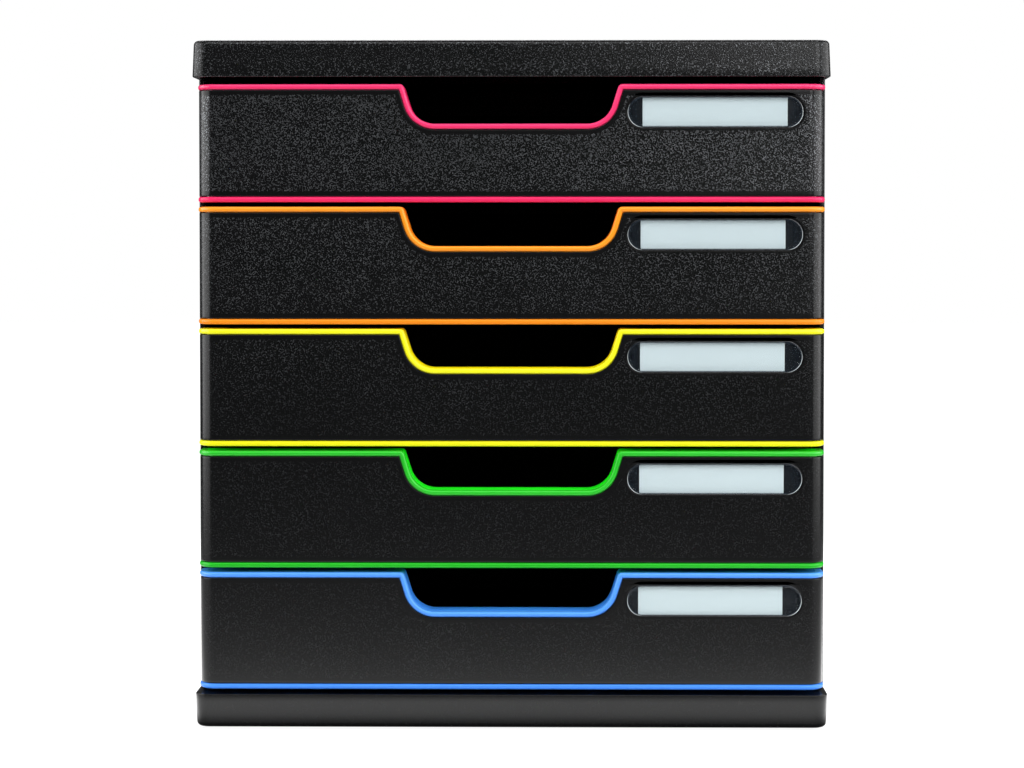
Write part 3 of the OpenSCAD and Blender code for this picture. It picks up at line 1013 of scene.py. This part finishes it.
class TOWER_PG_look(bpy.types.PropertyGroup):
    """Colours and finish of the tower."""

    grain_size: FloatProperty(name="Grain size", description="Width of one grain of the black plastic",
                              default=0.0006, min=0.0001, max=0.003, unit="LENGTH", precision=5)
    grain_depth: FloatProperty(name="Grain depth", description="Height of the grain",
                               default=0.0003, min=0.0, max=0.002, unit="LENGTH", precision=5)
    # Painted shade: the share of the grain and its flecks left at the floor, where the lights give no
    # glints
    grain_foot_painted_shade: FloatProperty(name="Grain at the foot", description="Share of the grain left at the floor",
                              default=0.12, min=0.0, max=1.0, subtype="FACTOR")
    grain_strength: FloatProperty(name="Grain strength", description="How strongly the grain shows",
                                  default=0.4, min=0.0, max=1.0, subtype="FACTOR")
    fleck: FloatProperty(name="Flecks", description="Reflectance of the shiny tips of the grain",
                         default=0.17, min=0.0, max=1.0)
    black_level: FloatProperty(name="Black", description="Reflectance of the black plastic",
                               default=0.0035, min=0.001, max=0.1, precision=4)
    trim_1: FloatVectorProperty(name="Top drawer", description="Colour of the top drawer's trim",
                                default=(0.94, 0.036, 0.17, 1), size=4, min=0, max=1, subtype="COLOR")
    trim_2: FloatVectorProperty(name="Second drawer", description="Colour of the second drawer's trim",
                                default=(0.98, 0.33, 0.015, 1), size=4, min=0, max=1, subtype="COLOR")
    trim_3: FloatVectorProperty(name="Third drawer", description="Colour of the third drawer's trim",
                                default=(0.9, 0.89, 0.01, 1), size=4, min=0, max=1, subtype="COLOR")
    trim_4: FloatVectorProperty(name="Fourth drawer", description="Colour of the fourth drawer's trim",
                                default=(0.018, 0.49, 0.02, 1), size=4, min=0, max=1, subtype="COLOR")
    trim_5: FloatVectorProperty(name="Bottom drawer", description="Colour of the bottom drawer's trim",
                                default=(0.08, 0.31, 0.94, 1), size=4, min=0, max=1, subtype="COLOR")
    card: FloatVectorProperty(name="Label card", description="Colour of the label cards",
                              default=(0.615, 0.73, 0.76, 1), size=4, min=0, max=1, subtype="COLOR")


class TOWER_PG_view(bpy.types.PropertyGroup):
    """Camera of the front view."""

    target: FloatVectorProperty(name="Aim", description="Point that the camera looks at",
                                default=(0.0005, -0.1734, 0.1788), size=3, subtype="TRANSLATION",
                                unit="LENGTH")
    distance: FloatProperty(name="Distance", description="From the camera to the aim",
                            default=1.35, min=0.5, max=5, unit="LENGTH")
    azimuth: FloatProperty(name="Azimuth", description="Turn of the camera to the right of the front",
                           default=radians(0.87), unit="ROTATION")
    elevation: FloatProperty(name="Elevation", description="Height of the camera over the aim",
                             default=radians(2.0), unit="ROTATION")
    focal: FloatProperty(name="Focal length", description="For a sensor 36 mm wide, in millimetres",
                         default=104.57, min=20, max=300)
    shift: FloatProperty(name="Shift", description="Upward shift of the picture, as a share of its width",
                         default=-0.045, min=-0.2, max=0.2)


def look():
    return bpy.context.scene.tower_look


def slot_material(slot, maker, *args):
    """The material of a slot, made the first time that it is asked for."""
    name = slot + "_finish"
    return bpy.data.materials.get(name) or maker(name, *args)


TRIM_SLOTS = ("trim_pink", "trim_orange", "trim_yellow", "trim_green", "trim_blue")


# ---- Operators ----


class TOWER_OT_case(bpy.types.Operator):
    """Make the lid, the base, the side panels, the back panel and the feet"""

    bl_idname = "tower.case"
    bl_label = "Case"

    def execute(self, context):
        black = slot_material("case_black", grained_plastic, look())
        settle(make_lid(black), "case", "case_black", "lid")
        settle(make_base(black), "case", "case_black", "base")
        settle(make_side_panel(1, black), "case", "case_black", "right_side_panel")
        settle(make_side_panel(-1, black), "case", "case_black", "left_side_panel")
        settle(make_back_panel(black), "case", "case_black", "back_panel")
        rubber = slot_material("foot_rubber", foot_rubber)
        settle(make_feet(rubber), "case", "foot_rubber", "rubber_feet")
        return {"FINISHED"}


class TOWER_OT_trays(bpy.types.Operator):
    """Make the black tray of each drawer"""

    bl_idname = "tower.trays"
    bl_label = "Trays"

    def execute(self, context):
        black = slot_material("tray_black", smooth_black, look())
        for i in range(1, DRAWERS + 1):
            settle(make_tray(i, black), f"drawer_{i}", "tray_black", f"drawer_{i}_tray")
        return {"FINISHED"}


class TOWER_OT_trims(bpy.types.Operator):
    """Make the coloured trim of each drawer"""

    bl_idname = "tower.trims"
    bl_label = "Trims"

    def execute(self, context):
        for i, slot in enumerate(TRIM_SLOTS, 1):
            colour = tuple(getattr(look(), f"trim_{i}"))
            material = slot_material(slot, trim_plastic, colour)
            settle(make_trim(i, material), f"drawer_{i}", slot, f"drawer_{i}_trim")
        return {"FINISHED"}


class TOWER_OT_fascias(bpy.types.Operator):
    """Make the grained black face of each drawer"""

    bl_idname = "tower.fascias"
    bl_label = "Fascias"

    def execute(self, context):
        black = slot_material("fascia_black", grained_plastic, look(), True)
        for i in range(1, DRAWERS + 1):
            settle(make_fascia(i, black), f"drawer_{i}", "fascia_black", f"drawer_{i}_fascia")
        return {"FINISHED"}


class TOWER_OT_labels(bpy.types.Operator):
    """Make the label card and the clear window of each drawer"""

    bl_idname = "tower.labels"
    bl_label = "Labels"

    def execute(self, context):
        paper = slot_material("label_paper", card_paper, tuple(look().card))
        clear = slot_material("label_clear", clear_plastic)
        for i in range(1, DRAWERS + 1):
            body = f"drawer_{i}"
            settle(make_card(i, paper), body, "label_paper", f"{body}_label_card")
            settle(make_window(i, clear), body, "label_clear", f"{body}_label_window")
        return {"FINISHED"}


class TOWER_OT_stage(bpy.types.Operator):
    """Make the floor, the lights, the white surroundings and the camera"""

    bl_idname = "tower.stage"
    bl_label = "Stage"

    def execute(self, context):
        make_floor()
        make_world()
        make_lights()
        make_camera(context.scene.tower_view)
        context.scene.view_settings.view_transform = "Standard"
        return {"FINISHED"}


def make_floor():
    """Floor that shows as white and keeps the tower's shadow, with a painted contact shadow where the
    tower stands; only its middle lights the tower.
    """
    finish = Finish("floor_white", Roughness=0.9, Specular_IOR_Level=0.0)
    away = finish.from_box(Vector((TOWER_W / 2, TOWER_D / 2, 1)))
    # Painted contact shadow: the floor's colour is black where the tower stands and just round it; further
    # out it is darker again, so that it lights the tower less
    share = away.smooth(-0.01, 0.03) - away.smooth(0.12, 0.6) * 0.93
    finish.set(Base_Color=finish.blend(share, grey(0.0), grey(0.85)))
    seen = finish.node("ShaderNodeLightPath", "Is Camera Ray")
    mirrored = finish.node("ShaderNodeLightPath", "Is Glossy Ray")
    near = away.smooth(0.01, 0.03) - away.smooth(0.04, 0.19)
    # It glows a little less for the camera near the tower, so that the shadow shows; for reflected rays it
    # glows at 2.5 in a band round the tower, painted light that the tower's lower parts reflect
    strength = seen * (0.93 + away.smooth(0.05, 0.4) * 0.2) + mirrored * near * 2.5
    glow = finish.node("ShaderNodeEmission", 0, Strength=strength)
    both = finish.tree.nodes.new("ShaderNodeAddShader")
    link = finish.tree.links.new
    link(finish.shader.outputs[0], both.inputs[0])
    link(glow.socket, both.inputs[1])
    link(both.outputs[0], finish.tree.nodes["Material Output"].inputs["Surface"])
    reach, thickness, corner = 6, 0.02, 1
    rings = [rounded_ring(2 * reach, 2 * reach, corner, z) for z in (-thickness, 0)]
    skinned("floor", rings, finish.material)


def make_world():
    """White behind everything, and a dimmer even light on the tower."""
    world = bpy.data.worlds.new("surroundings")
    bpy.context.scene.world = world
    world.use_nodes = True
    tree = world.node_tree
    sky = tree.nodes["Background"]
    path = tree.nodes.new("ShaderNodeLightPath")
    seen = Value(tree, path.outputs["Is Camera Ray"])
    dim = 0.06
    plug(tree, sky.inputs["Strength"], seen * (1 - dim) + dim)
    sky.inputs["Color"].default_value = (1, 1, 1, 1)


def add_softbox(name, place, aim, size, power):
    """Rectangular area light at place, turned to aim."""
    light = bpy.data.lights.new(name, "AREA")
    light.shape = "RECTANGLE"
    light.size, light.size_y = size
    light.energy = power
    box = bpy.data.objects.new(name, light)
    bpy.context.scene.collection.objects.link(box)
    box.location = place
    box.rotation_euler = (Vector(aim) - Vector(place)).to_track_quat("-Z", "Y").to_euler()


def make_lights():
    """Softboxes: a place, an aim, a size and a power in watts for each."""
    middle = (0, -0.17, 0.16)
    add_softbox("front_top", (0.2, -1.4, 1.85), middle, (2.6, 1.2), 31)
    add_softbox("right_front", (0.7, -1.55, 0.7), middle, (0.7, 0.7), 10)
    add_softbox("right_side", (1.1, -0.25, 0.5), (0.2, -0.2, 0.2), (1.5, 1.0), 16)
    add_softbox("left_side", (-1.1, -0.25, 0.5), (-0.2, -0.2, 0.2), (1.5, 1.0), 18)
    add_softbox("behind_top", (0, 1.4, 1.5), (0, 0, 0.2), (1.6, 0.9), 16)


def make_camera(setting):
    camera = bpy.data.cameras.new("front_camera")
    camera.lens = setting.focal
    camera.sensor_width = 36
    camera.shift_y = setting.shift
    camera.clip_start = 0.05
    view = bpy.data.objects.new("front_camera", camera)
    bpy.context.scene.collection.objects.link(view)
    az, el = setting.azimuth, setting.elevation
    away = Vector((sin(az) * cos(el), -cos(az) * cos(el), sin(el)))
    view.location = Vector(setting.target) + away * setting.distance
    view.rotation_euler = (-away).to_track_quat("-Z", "Y").to_euler()
    bpy.context.scene.camera = view


class TOWER_PT_panel(bpy.types.Panel):
    """Lists the tower's steps and settings."""

    bl_label = "Drawer Tower"
    bl_idname = "TOWER_PT_panel"
    bl_space_type = "VIEW_3D"
    bl_region_type = "UI"
    bl_category = "Drawer Tower"

    def draw(self, context):
        for step in STEPS:
            self.layout.operator(step.bl_idname)
        for group in (context.scene.tower_look, context.scene.tower_view):
            for key in group.bl_rna.properties.keys():
                if key not in ("rna_type", "name"):
                    self.layout.prop(group, key)


STEPS = (TOWER_OT_stage, TOWER_OT_case, TOWER_OT_trays, TOWER_OT_trims, TOWER_OT_fascias,
         TOWER_OT_labels)
CLASSES = (TOWER_PG_look, TOWER_PG_view, *STEPS, TOWER_PT_panel)


def register():
    for made in CLASSES:
        bpy.utils.register_class(made)
    bpy.types.Scene.tower_look = bpy.props.PointerProperty(type=TOWER_PG_look)
    bpy.types.Scene.tower_view = bpy.props.PointerProperty(type=TOWER_PG_view)


def unregister():
    del bpy.types.Scene.tower_view
    del bpy.types.Scene.tower_look
    for made in reversed(CLASSES):
        bpy.utils.unregister_class(made)


def main():
    register()
    bpy.ops.tower.stage()
    bpy.ops.tower.case()
    bpy.ops.tower.trays()
    bpy.ops.tower.trims()
    bpy.ops.tower.fascias()
    bpy.ops.tower.labels()


if __name__ == "__main__":
    main()
